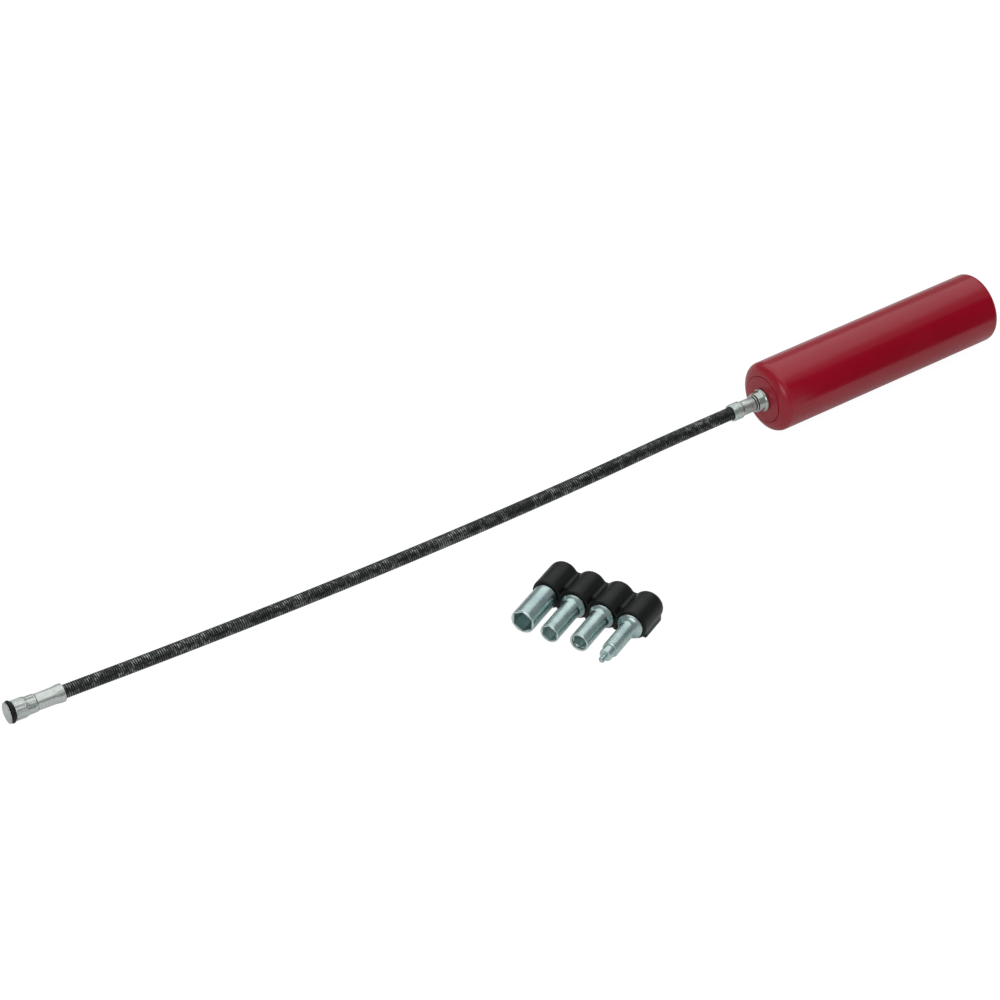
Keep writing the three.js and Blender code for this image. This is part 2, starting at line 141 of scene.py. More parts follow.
def plain(name, colour, glow=0.0):
    """An even grey for the studio sheets, lit from within where glow is given."""
    material = bpy.data.materials.new(name)
    material.use_nodes = True
    shader = material.node_tree.nodes["Principled BSDF"]
    shader.inputs["Base Color"].default_value = (colour, colour, colour, 1)
    shader.inputs["Roughness"].default_value = 0.9
    shader.inputs["Specular IOR Level"].default_value = 0.1
    shader.inputs["Emission Color"].default_value = (1, 1, 1, 1)
    shader.inputs["Emission Strength"].default_value = glow
    return material


def make_stage():
    """A white lit floor, soft lights, and a dark card that the grip mirrors."""
    world = bpy.data.worlds.new("studio")
    bpy.context.scene.world = world
    world.use_nodes = True
    background = world.node_tree.nodes["Background"]
    background.inputs["Color"].default_value = (0.97, 0.99, 1.0, 1)
    background.inputs["Strength"].default_value = WORLD_STRENGTH
    reach = FLOOR_REACH
    level = FLOOR_HEIGHT - FLOOR_GAP
    corners = [(-reach, -reach), (reach, -reach), (reach, reach), (-reach, reach)]
    seen = flat_sheet("floor", [(x, y, level) for x, y in corners], plain("floor_pale", 0.1, FLOOR_GLOW))
    seen.visible_glossy = False
    seen.visible_diffuse = False
    lower = level - FLOOR_GAP
    bounced = flat_sheet("floor_bounce", [(x, y, lower) for x, y in corners],
                         plain("floor_grey", 0.7, BOUNCE_GLOW))
    bounced.visible_camera = False
    near, left, right, top = CARD
    card = flat_sheet("dark_card", [(left, near, FLOOR_HEIGHT), (right, near, FLOOR_HEIGHT),
                                    (right, near, top), (left, near, top)], plain("card_black", 0.0))
    card.visible_camera = False
    card.visible_diffuse = False
    card.visible_shadow = False
    disc = mounts["magnet_face"]
    nose = Vector(disc["pos_m"]) - Vector(disc["axis"]) * NOSE_CARD_AIM
    nose_light = area_light("nose_card", nose + Vector(NOSE_CARD), nose, 0.07, NOSE_CARD_POWER,
                            size_y=0.02)
    nose_light.visible_diffuse = False
    nose_light.visible_camera = False
    middle = (-0.25, 0, 0)
    area_light("overhead", (-0.1, 0.5, 1.3), middle, 2.4, 15)
    area_light("left_bank", (-1.6, -0.6, 0.6), middle, 0.9, 3.6, size_y=0.7)
    fill = area_light("fill", (-0.5, -0.9, 1.6), middle, 1.2, 9)
    fill.visible_glossy = False


# ------------------------------------------------------------------ colours, linear
RED_DEEP = (0.295, 0.0012, 0.012)
RED_LIGHT = (0.33, 0.0025, 0.017)
RED_SPECK = (0.36, 0.012, 0.022)
# Colour of zinc edges: partly edge wear, partly a painted highlight.
ZINC_EDGE_WEAR_AND_HIGHLIGHT = (0.9, 0.92, 0.9)
# Painted light: a lighter colour for the lining of hexagonal bores, in place of light reaching inside.
ZINC_BORE_PAINTED_LIGHT = (0.62, 0.74, 0.72)
FITTING_LIGHT = (0.70, 0.74, 0.71)
FITTING_DARK = (0.58, 0.63, 0.60)
TUMBLED_LIGHT = (0.88, 0.98, 0.93)
TUMBLED_DARK = (0.36, 0.45, 0.41)
TIP_LIGHT = (0.61, 0.77, 0.74)
TIP_DARK = (0.51, 0.66, 0.635)
TIP_BLUE = (0.36, 0.48, 0.51)
NICKEL_DARK = (0.44, 0.49, 0.46)
NICKEL_LIGHT = (0.56, 0.61, 0.575)
WIRE_DARK = (0.032, 0.037, 0.035)
WIRE_LIGHT = (0.052, 0.059, 0.056)
WIRE_CROWN = (0.42, 0.45, 0.435)
RUBBER_DARK = (0.0038, 0.0052, 0.0048)
RUBBER_LIGHT = (0.0065, 0.0083, 0.0078)
RUBBER_DUST = (0.03, 0.031, 0.03)
STEEL = (0.5, 0.5, 0.49)


# ------------------------------------------------------------------ material helpers
class Nodes:
    """A small builder for one procedural material."""

    def __init__(self, name):
        self.material = bpy.data.materials.new(name)
        self.material.use_nodes = True
        self.tree = self.material.node_tree
        self.shader = self.tree.nodes["Principled BSDF"]
        coordinates = self.tree.nodes.new("ShaderNodeTexCoord")
        self.place = coordinates.outputs["Object"]

    def set(self, **values):
        for key, value in values.items():
            self.shader.inputs[key.replace("_", " ")].default_value = value

    def link(self, out, name):
        self.tree.links.new(out, self.shader.inputs[name])

    def noise(self, scale, detail=4.0, roughness=0.5, vector=None, stretch=None):
        source = vector or self.place
        if stretch:
            mapping = self.tree.nodes.new("ShaderNodeMapping")
            mapping.inputs["Scale"].default_value = stretch
            self.tree.links.new(source, mapping.inputs["Vector"])
            source = mapping.outputs["Vector"]
        node = self.tree.nodes.new("ShaderNodeTexNoise")
        node.inputs["Scale"].default_value = scale
        node.inputs["Detail"].default_value = detail
        node.inputs["Roughness"].default_value = roughness
        self.tree.links.new(source, node.inputs["Vector"])
        return node.outputs["Fac"]

    def rings(self, axis, scale, detail=3.0):
        """Noise that changes only along an axis: the fine lines that a lathe tool leaves."""
        dot = self.tree.nodes.new("ShaderNodeVectorMath")
        dot.operation = "DOT_PRODUCT"
        self.tree.links.new(self.place, dot.inputs[0])
        dot.inputs[1].default_value = axis
        node = self.tree.nodes.new("ShaderNodeTexNoise")
        node.noise_dimensions = "1D"
        node.inputs["Scale"].default_value = scale
        node.inputs["Detail"].default_value = detail
        self.tree.links.new(dot.outputs["Value"], node.inputs["W"])
        return node.outputs["Fac"]

    def ramp(self, fac, stops):
        node = self.tree.nodes.new("ShaderNodeValToRGB")
        ramp = node.color_ramp
        while len(ramp.elements) < len(stops):
            ramp.elements.new(0.5)
        for element, (position, colour) in zip(ramp.elements, stops):
            element.position = position
            element.color = (*colour, 1) if hasattr(colour, "__len__") else (colour,) * 3 + (1,)
        self.tree.links.new(fac, node.inputs["Fac"])
        return node.outputs["Color"]

    def mix(self, fac, a, b, mode="MIX"):
        node = self.tree.nodes.new("ShaderNodeMix")
        node.data_type = "RGBA"
        node.blend_type = mode
        for value, socket in ((fac, node.inputs["Factor"]), (a, node.inputs["A"]), (b, node.inputs["B"])):
            if isinstance(value, bpy.types.NodeSocket):
                self.tree.links.new(value, socket)
            elif hasattr(value, "__len__"):
                socket.default_value = (*value, 1)
            else:
                socket.default_value = value
        return node.outputs["Result"]

    def spread(self, fac, low, high, from_low=0.3, from_high=0.7):
        node = self.tree.nodes.new("ShaderNodeMapRange")
        node.inputs["From Min"].default_value = from_low
        node.inputs["From Max"].default_value = from_high
        node.inputs["To Min"].default_value = low
        node.inputs["To Max"].default_value = high
        self.tree.links.new(fac, node.inputs["Value"])
        return node.outputs["Result"]

    def pointiness(self):
        """High on convex edges."""
        return self.tree.nodes.new("ShaderNodeNewGeometry").outputs["Pointiness"]

    def attribute(self, name):
        node = self.tree.nodes.new("ShaderNodeAttribute")
        node.attribute_name = name
        return node.outputs["Fac"]

    def bump(self, *layers):
        """Each layer is (height, distance in metres)."""
        normal = None
        for height, distance in layers:
            node = self.tree.nodes.new("ShaderNodeBump")
            node.inputs["Strength"].default_value = 1.0
            node.inputs["Distance"].default_value = distance
            self.tree.links.new(height, node.inputs["Height"])
            if normal:
                self.tree.links.new(normal, node.inputs["Normal"])
            normal = node.outputs["Normal"]
        self.link(normal, "Normal")


def red_plastic(name="red_plastic", dull=0.0):
    """Glossy moulded red with faint orange peel and scuffs along the grip."""
    m = Nodes(name)
    cloud = m.noise(24, 3)
    colour = m.mix(m.spread(cloud, 0, 1), RED_DEEP, RED_LIGHT)
    speck = m.noise(900, 2)
    colour = m.mix(m.spread(speck, 0, 0.2, 0.58, 0.8), colour, RED_SPECK)
    m.link(colour, "Base Color")
    scuff = m.noise(60, 5, 0.6, stretch=(0.25, 1, 1))
    m.link(m.spread(scuff, 0.19 + dull, 0.3 + dull, 0.35, 0.75), "Roughness")
    m.set(Specular_IOR_Level=0.5)
    m.bump((m.noise(700, 2), 0.000006), (m.noise(90, 2), 0.00002))
    return m.material


def zinc(name, axis, light, dark, rough=(0.24, 0.42), blue=None, paints_bore_light=False, grain=900):
    """Zinc plate with turning lines along axis, mottled, brighter on its edges, partly as edge wear and partly as
    a painted highlight.
    """
    m = Nodes(name)
    turning = m.rings(axis, 2600)
    mottle = m.noise(grain, 4, 0.6)
    colour = m.mix(m.spread(mottle, 0, 1), dark, light)
    if blue:
        colour = m.mix(m.spread(m.noise(160, 2), 0, 0.7), colour, blue)
    colour = m.mix(m.spread(turning, 0, 0.35, 0.4, 0.7), colour, tuple(c * 0.75 for c in dark))
    # Convex edges are made brighter: partly edge wear, partly a painted highlight.
    edge_wear_and_highlight = m.spread(m.pointiness(), 0, 0.8, 0.52, 0.62)
    colour = m.mix(edge_wear_and_highlight, colour, ZINC_EDGE_WEAR_AND_HIGHLIGHT)
    polish = m.spread(m.noise(500, 4), *rough)
    # Painted light in the bore: a lighter colour and a rougher finish, in place of light reaching inside.
    if paints_bore_light:
        inside = m.attribute("bore")
        colour = m.mix(inside, colour, ZINC_BORE_PAINTED_LIGHT)
        polish = m.mix(inside, polish, (0.5, 0.5, 0.5))
    m.link(colour, "Base Color")
    m.set(Metallic=1.0)
    m.link(polish, "Roughness")
    m.bump((turning, 0.00001), (mottle, 0.000005))
    return m.material


def nickel():
    """Polished nickel plate with a faint haze."""
    m = Nodes("polished_nickel")
    haze = m.noise(300, 4)
    m.link(m.mix(m.spread(haze, 0, 1), NICKEL_DARK, NICKEL_LIGHT), "Base Color")
    m.set(Metallic=1.0)
    m.link(m.spread(m.noise(700, 5, 0.65), 0.1, 0.24), "Roughness")
    m.bump((m.noise(1500, 3), 0.000006))
    return m.material


def black_wire():
    """Black oxide wire, worn bright in patches on the crown of each turn."""
    m = Nodes("black_wire")
    patch = m.noise(170, 4, 0.65)
    crown = m.spread(m.attribute("crown"), 0, 1, 0.85, 1.0)
    worn = m.mix(1.0, crown, m.spread(patch, 0.15, 1, 0.42, 0.6), "MULTIPLY")
    worn = m.mix(1.0, worn, m.spread(m.noise(620, 2), 0.1, 1, 0.44, 0.56), "MULTIPLY")
    colour = m.mix(m.spread(m.noise(1400, 3), 0, 1), WIRE_DARK, WIRE_LIGHT)
    colour = m.mix(worn, colour, WIRE_CROWN)
    m.link(colour, "Base Color")
    m.set(Metallic=1.0)
    m.link(m.spread(patch, 0.22, 0.36), "Roughness")
    m.bump((m.noise(3000, 3), 0.00001))
    return m.material


def black_rubber():
    """Moulded black rubber with a soft sheen and a little dust."""
    m = Nodes("black_rubber")
    cloud = m.noise(120, 4)
    colour = m.mix(m.spread(cloud, 0, 1), RUBBER_DARK, RUBBER_LIGHT)
    dust = m.spread(m.noise(1600, 5, 0.7), 0, 0.2, 0.64, 0.8)
    colour = m.mix(dust, colour, RUBBER_DUST)
    m.link(colour, "Base Color")
    m.link(m.spread(m.noise(260, 3), 0.26, 0.4), "Roughness")
    m.set(Specular_IOR_Level=0.25)
    m.bump((m.noise(2200, 3), 0.00001), (m.noise(140, 2), 0.00005))
    return m.material


def stranded(name, light, dark):
    """Twisted steel wire: slanting dark lines between bright strands."""
    m = Nodes(name)
    strands = m.noise(260, 1, 0.4, stretch=(3.2, 1, 1))
    colour = m.mix(m.spread(strands, 0, 1, 0.42, 0.58), dark, light)
    m.link(colour, "Base Color")
    m.set(Metallic=1.0)
    m.link(m.spread(m.noise(800, 3), 0.34, 0.55), "Roughness")
    m.bump((strands, 0.00008))
    return m.material


def machined(name, light, dark, metallic, rough):
    """Plain machined metal, mottled between two colours."""
    m = Nodes(name)
    colour = m.mix(m.spread(m.noise(350, 4), 0, 1), dark, light)
    m.link(colour, "Base Color")
    m.set(Metallic=metallic)
    turning = m.rings((1, 0, 0), 1800)
    m.link(m.spread(m.noise(600, 3), *rough), "Roughness")
    m.bump((turning, 0.00002))
    return m.material


# ------------------------------------------------------------------ mesh helpers
def local_frame(origin, x_axis):
    """A level frame with X along x_axis and Y horizontal."""
    x = Vector(x_axis).normalized()
    y = Vector((0, 0, 1)).cross(x).normalized()
    z = x.cross(y)
    turn = Matrix((x, y, z)).transposed().to_4x4()
    return Matrix.Translation(Vector(origin)) @ turn


def add_piece(name, verts, faces, material, smooth_angle=35):
    """A visible mesh from vertices in metres, its faces turned outward, creases kept sharp."""
    mesh = bpy.data.meshes.new(name)
    mesh.from_pydata([tuple(v) for v in verts], [], faces)
    bm = bmesh.new()
    bm.from_mesh(mesh)
    if bm.calc_volume(signed=True) < 0:
        bmesh.ops.reverse_faces(bm, faces=bm.faces)
    bm.to_mesh(mesh)
    bm.free()
    mesh.polygons.foreach_set("use_smooth", [True] * len(mesh.polygons))
    mesh.set_sharp_from_angle(angle=math.radians(smooth_angle))
    mesh.materials.append(material)
    piece = bpy.data.objects.new(name, mesh)
    bpy.context.scene.collection.objects.link(piece)
    return piece


def fillet(corners, steps=4):
    """Section points from (station, radius, rounding) corners, in millimetres."""
    points = []
    for index, corner in enumerate(corners):
        here = np.array(corner[:2], float)
        size = corner[2] if len(corner) > 2 else 0
        if not size:
            points.append(here)
            continue
        before = np.array(corners[index - 1][:2], float)
        after = np.array(corners[(index + 1) % len(corners)][:2], float)
        back, ahead = before - here, after - here
        size = min(size, np.linalg.norm(back) / 2.01, np.linalg.norm(ahead) / 2.01)
        start = here + back / np.linalg.norm(back) * size
        end = here + ahead / np.linalg.norm(ahead) * size
        for step in range(steps + 1):
            t = step / steps
            points.append((1 - t) ** 2 * start + 2 * t * (1 - t) * here + t ** 2 * end)
    return [tuple(p) for p in points]


def subdivided(points, start, end, count):
    """Adds count even points between two section points."""
    a, b = np.array(points[start]), np.array(points[end])
    extra = [tuple(a + (b - a) * (i + 1) / (count + 1)) for i in range(count)]
    return points[: start + 1] + extra + points[start + 1:]


def revolve(points, sides, shape=None, closed=False):
    """Vertices and faces of a section turned about X. shape bends the radius by angle."""
    angles = np.arange(sides) * 2 * math.pi / sides
    verts, rows = [], []
    for station, radius in points:
        if radius < 1e-9:
            rows.append([len(verts)])
            verts.append((station, 0, 0))
            continue
        radii = np.full(sides, float(radius))
        if shape:
            radii = shape(angles, station, radii)
        rows.append(list(range(len(verts), len(verts) + sides)))
        verts.extend((station, r * math.cos(a), r * math.sin(a)) for a, r in zip(angles, radii))
    pairs = list(zip(rows[:-1], rows[1:]))
    if closed:
        pairs.append((rows[-1], rows[0]))
    faces = []
    for low, high in pairs:
        for i in range(sides):
            j = (i + 1) % sides
            if len(low) == 1 and len(high) == 1:
                continue
            if len(low) == 1:
                faces.append((low[0], high[j], high[i]))
            elif len(high) == 1:
                faces.append((low[i], low[j], high[0]))
            else:
                faces.append((low[i], low[j], high[j], high[i]))
    return verts, faces


def turned_piece(name, place, points, material, sides=96, shape=None, closed=False, smooth=35):
    """A piece from a section in millimetres turned about the X axis of place."""
    verts, faces = revolve(points, sides, shape, closed)
    scaled = [place @ (Vector(v) * MM) for v in verts]
    return add_piece(name, scaled, faces, material, smooth)


def stand_for(piece, body, *cad_nodes):
    """Lets a piece ride on a body in place of CAD nodes."""
    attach(piece, body)
    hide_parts(*cad_nodes)
    return piece


def hexagon_radius(angles, across_flats, turn=0.0, corner=1e9):
    """Radius of a hexagon at each angle, its corners cut by a circle."""
    folded = (angles - turn + math.pi / 6) % (math.pi / 3) - math.pi / 6
    return np.minimum(across_flats / 2 / np.cos(folded), corner)


# ------------------------------------------------------------------ places
FACE = joints["casing_turn"]["pos_m"][0]
grip_place = Matrix.Translation((FACE, 0, 0))
magnet_point = Vector(mounts["magnet_face"]["pos_m"])
nose_axis = -Vector(mounts["magnet_face"]["axis"])
nose_place = local_frame(magnet_point, nose_axis)
tip_axis = Vector(joints["pin_pull"]["axis"])
strip_side = Vector((-tip_axis.y, tip_axis.x, 0))

POCKET_PITCH = 13.24
POCKET_RADIUS = 6.8
STRIP_MIDDLE = (-9.0, 19.86)
base_middle = Vector(mounts["strip_base"]["pos_m"])
strip_origin = (base_middle - tip_axis * STRIP_MIDDLE[0] * MM - strip_side * STRIP_MIDDLE[1] * MM
                + Vector((0, 0, POCKET_RADIUS * MM)))


def pocket_place(index):
    """The frame of one pocket of the strip, X out of its mouth."""
    return local_frame(strip_origin + strip_side * index * POCKET_PITCH * MM, tip_axis)


# ------------------------------------------------------------------ handle
GRIP_RADIUS = 16.0
BUTT_WALL = 8.0
BUTT_ROUND = 2.2
SHOULDER_RUN = 4.5
SHOULDER_DROP = 8.0
HOLLOW_RADIUS = 10.2
SEAT_DEPTH = 14
SHELL_BORE = 10.8
GRIP_SHRINK = 0.03
GRIP_RIPPLE = 0.022
PLUG_RADIUS = 10.58
PLUG_HOLE = 4.25
PLUG_LENGTH = 13.7


def grip_section(length):
    """The grip's section: hollow inside, domed in front and flat at the butt."""
    floor = length - BUTT_WALL
    inside = [(floor, 0), (floor, HOLLOW_RADIUS, 0.5), (SEAT_DEPTH, HOLLOW_RADIUS),
              (SEAT_DEPTH, SHELL_BORE), (0.5, SHELL_BORE)]
    rounds = np.linspace(0, math.pi / 2, 18)
    dome = [(SHOULDER_RUN * (1 - math.cos(a)), GRIP_RADIUS - SHOULDER_DROP * (1 - math.sin(a)))
            for a in rounds]
    section = fillet(inside, 6)
    section += [p for p in dome if p[1] > SHELL_BORE + 0.1]
    section += [(s, GRIP_RADIUS) for s in np.linspace(SHOULDER_RUN + 0.3, length - BUTT_ROUND - 0.3, 70)]
    section += [(length - BUTT_ROUND * (1 - math.sin(a)), GRIP_RADIUS - BUTT_ROUND * (1 - math.cos(a)))
                for a in rounds]
    return section + [(length, 0)]


def make_handle():
    """The red grip, very slightly uneven as a moulding is, and the plug in its front."""
    wave = rng.uniform(0, 2 * math.pi, 4)

    def moulded(angles, station, radii):
        if radii[0] < GRIP_RADIUS - 0.5:
            return radii
        ripple = (np.sin(2 * angles + wave[0] + station * 0.05) * 0.5
                  + np.sin(3 * angles + wave[1] - station * 0.03) * 0.3
                  + math.sin(station * 0.11 + wave[2]) * 0.5)
        return radii - GRIP_SHRINK + GRIP_RIPPLE * ripple

    grip = turned_piece("grip", grip_place, grip_section(-FACE / MM), red_plastic(), 160,
                        moulded)
    stand_for(grip, "handle", "handle_shell")

    section = fillet([
        (0.0, PLUG_HOLE, 0.3), (0.0, 8.0, 0.8), (0.16, PLUG_RADIUS, 0.2), (PLUG_LENGTH, PLUG_RADIUS, 0.3),
        (PLUG_LENGTH, PLUG_HOLE, 0.1),
    ])
    plug = turned_piece("grip_plug", grip_place, section, red_plastic("red_plastic_plug", 0.1),
                        128, closed=True)
    stand_for(plug, "handle", "handle_plug")


# ------------------------------------------------------------------ rear fitting
COLLAR_BORE = 2.95
FERRULE_BODY = 3.32
FERRULE_BORE = 1.65
FERRULE_SHRINK = 0.03
FERRULE_DENTS = 0.015


def make_rear_fitting(zinc_finish, bright):
    """The fixed collar and washer, and the dented ferrule that turns in them."""
    collar = fillet([
        (-4.6, COLLAR_BORE, 0.05), (-4.6, 4.25, 0.3), (-1.7, 4.6, 0.5), (-1.05, 5.25, 0.25),
        (-0.05, 5.25, 0.15), (-0.05, 3.9), (15, 3.9, 0.2), (15, COLLAR_BORE, 0.1),
    ])
    stand_for(turned_piece("bearing_collar", grip_place, collar, bright,
                           closed=True), "handle", "bearing_bush")
    washer = fillet([
        (-5.55, COLLAR_BORE, 0.05), (-5.55, 3.95, 0.2), (-4.9, 3.95, 0.2), (-4.9, COLLAR_BORE, 0.05),
    ])
    stand_for(turned_piece("bearing_washer", grip_place, washer, bright,
                           closed=True), "handle", "thrust_washer")

    ferrule = fillet([
        (-18, 3.05, 0.1), (-18, 3.9, 0.35), (-13.0, 3.9, 0.3), (-12.5, 3.34, 0.3), (-5.8, 3.3, 0.25),
        (-5.8, 2.65), (15.5, 2.65), (15.5, 2.1), (16.9, 2.1), (16.9, 2.65), (18.2, 2.65, 0.2),
        (18.2, FERRULE_BORE), (-13.2, FERRULE_BORE), (-13.2, 3.05),
    ])
    lobes = rng.uniform(0, 2 * math.pi, 3)

    def crimped(angles, station, radii):
        if radii[0] < 3.2 or station > -5.9:
            return radii
        dents = (np.sin(5 * angles + lobes[0] + station) + np.sin(9 * angles + lobes[1] - 2 * station))
        return radii - FERRULE_SHRINK + FERRULE_DENTS * dents

    body = next(i for i, p in enumerate(ferrule) if abs(p[1] - FERRULE_BODY) < 0.05)
    ferrule = subdivided(ferrule, body, body + 1, 24)
    stand_for(turned_piece("rear_fitting", grip_place, ferrule, zinc_finish, shape=crimped,
                           closed=True), "casing_base", "rear_ferrule")


# ------------------------------------------------------------------ casing coil
WIRE_HALF_WIDTH = 0.5
WIRE_RISE = 0.32
COIL_RADIUS = 2.62
COIL_PITCH = 1.0024
TURN_STEPS = 36
WIRE_SIDES = 10
LINKS = 9
REAR_MOUTH = -18.0
REAR_HIDDEN = 4.4
FRONT_HIDDEN = 4.0
NOSE_LENGTH = 25.2
SPLINE_STEPS = 24
SEARCH_STEPS = 4000
TANGENT_REACH = 0.5


def unit_rows(vectors):
    return vectors / np.linalg.norm(vectors, axis=1)[:, None]


class Route:
    """A line in space, read by the distance along it."""

    def __init__(self, line):
        self.line = line
        self.lengths = np.r_[0, np.cumsum(np.linalg.norm(np.diff(line, axis=0), axis=1))]
        self.total = self.lengths[-1]

    def at(self, places):
        return np.stack([np.interp(places, self.lengths, self.line[:, axis]) for axis in range(3)], 1)

    def tangent(self, places):
        ahead = np.clip(places + TANGENT_REACH, 0, self.total)
        behind = np.clip(places - TANGENT_REACH, 0, self.total)
        return unit_rows(self.at(ahead) - self.at(behind))


def centreline():
    """Points of the shaft's centre line in millimetres, from the rear cup to the front one."""
    knots = [Vector((FACE / MM + REAR_MOUTH, 0, 0))]
    knots += [Vector(joints[f"bend_{k}"]["pos_m"]) / MM for k in range(1, LINKS)]
    knots.append((magnet_point / MM) + nose_axis * NOSE_LENGTH)
    knots = [np.array(k) for k in knots]
    start = knots[0] + np.array((REAR_HIDDEN, 0, 0))
    end = knots[-1] - np.array(nose_axis) * FRONT_HIDDEN
    padded = [2 * knots[0] - knots[1], *knots, 2 * knots[-1] - knots[-2]]
    line = [start]
    for i in range(1, len(padded) - 2):
        p0, p1, p2, p3 = padded[i - 1: i + 3]
        for t in np.linspace(0, 1, SPLINE_STEPS, endpoint=False):
            line.append(0.5 * (2 * p1 + (p2 - p0) * t + (2 * p0 - 5 * p1 + 4 * p2 - p3) * t ** 2
                               + (3 * p1 - p0 - 3 * p2 + p3) * t ** 3))
    line += [knots[-1], end]
    return np.array(line), knots


def coil_stops(route, middles):
    """Distances along the route at which one piece of the coil gives way to the next."""
    places = np.linspace(0, route.total, SEARCH_STEPS)
    stops = [0.0]
    for middle in middles[1:-1]:
        nearest = np.linalg.norm(route.at(places) - middle, axis=1).argmin()
        stops.append(nearest * route.total / (SEARCH_STEPS - 1))
    return stops + [route.total]


def wound_wire(route, places):
    """Wire wound round the route: vertices in metres, and how far out each one is, 0 to 1."""
    tangent = route.tangent(places)
    side = unit_rows(np.cross(np.array((0, 0, 1.0)), tangent))
    upward = np.cross(tangent, side)
    angle = 2 * math.pi * places / COIL_PITCH
    radial = side * np.cos(angle)[:, None] + upward * np.sin(angle)[:, None]
    around = -side * np.sin(angle)[:, None] + upward * np.cos(angle)[:, None]
    run = unit_rows(around * 2 * math.pi * COIL_RADIUS + tangent * COIL_PITCH)
    across = np.cross(run, radial)
    middle = route.at(places) + radial * COIL_RADIUS
    verts, crown = [], []
    for i in range(WIRE_SIDES):
        turn = 2 * math.pi * i / WIRE_SIDES
        rise = WIRE_RISE * math.cos(turn)
        verts.append(middle + radial * rise + across * WIRE_HALF_WIDTH * math.sin(turn))
        crown.append(np.full(len(places), 0.5 + 0.5 * math.cos(turn)))
    return np.stack(verts, 1).reshape(-1, 3) * MM, np.stack(crown, 1).reshape(-1)


def tube_faces(rows, sides):
    """Faces of a closed tube of rows of vertices, with an end cap at each end."""
    faces = []
    for row in range(rows - 1):
        base = row * sides
        for i in range(sides):
            j = (i + 1) % sides
            faces.append((base + i, base + j, base + sides + j, base + sides + i))
    faces.append(tuple(range(sides - 1, -1, -1)))
    faces.append(tuple((rows - 1) * sides + i for i in range(sides)))
    return faces


def make_casing(finish):
    """The wound casing: one piece of coil for each hinge, from link middle to link middle."""
    line, knots = centreline()
    route = Route(line)
    middles = [(knots[k] + knots[k + 1]) / 2 for k in range(LINKS)]
    stops = coil_stops(route, middles)
    step = COIL_PITCH / TURN_STEPS
    for k in range(1, LINKS):
        places = np.arange(round(stops[k - 1] / step), round(stops[k] / step) + 1) * step
        places = places[places <= route.total]
        verts, crown = wound_wire(route, places)
        piece = add_piece(f"casing_coil_{k}", verts, tube_faces(len(places), WIRE_SIDES), finish,
                          60)
        attribute = piece.data.attributes.new("crown", "FLOAT", "POINT")
        attribute.data.foreach_set("value", crown.astype(np.float32))
        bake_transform(piece)
        stands = [f"casing_{k}"] + ([f"casing_{LINKS}"] if k == LINKS - 1 else [])
        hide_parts(*stands)


# ------------------------------------------------------------------ front fitting
SLITS = 6
FLUTES = 12
SLIT_TURN = math.radians(40)
FLUTE_TURN = math.radians(10)
CRIMP_TURN = math.radians(-5)
CRIMP_FLATS = 6.84
CRIMP_END = 21.3
RING_STATION = 1.85
RING_MAJOR = 3.94
RING_MINOR = 0.94
CRIMP_RADIUS = 3.7
FLARE_RADIUS = 3.93
FLUTE_DEPTH = 0.3
FLUTE_HALF_WIDTH = 0.55
SLIT_DEPTH = 0.85
SLIT_HALF_WIDTH = 0.4
NOTCH_EDGE = 0.05


def make_crimped_body(zinc_finish):
    """The ferrule behind the nose: six crimp flats that run out into a flare."""
    body = fillet([
        (13.1, 2.7), (13.1, CRIMP_RADIUS, 0.15), (CRIMP_END, CRIMP_RADIUS, 0.2),
        (23.6, FLARE_RADIUS, 0.6), (NOSE_LENGTH, FLARE_RADIUS, 0.3), (NOSE_LENGTH, 3.05, 0.1),
        (21, 3.05), (21, 2.7),
    ])
    start = next(i for i, p in enumerate(body) if p[1] > CRIMP_RADIUS - 0.01)
    body = subdivided(body, start, start + 1, 26)

    def crimped(angles, station, radii):
        if radii[0] < 3.3 or station > CRIMP_END + 1:
            return radii
        flat = hexagon_radius(angles, CRIMP_FLATS, CRIMP_TURN)
        runout = max(0.0, station - CRIMP_END + 0.5)
        return np.minimum(radii, flat + 0.3 * runout)

    stand_for(turned_piece("front_fitting", nose_place, body, zinc_finish, 180, crimped,
                           closed=True, smooth=25), f"casing_link_{LINKS}", "front_ferrule")


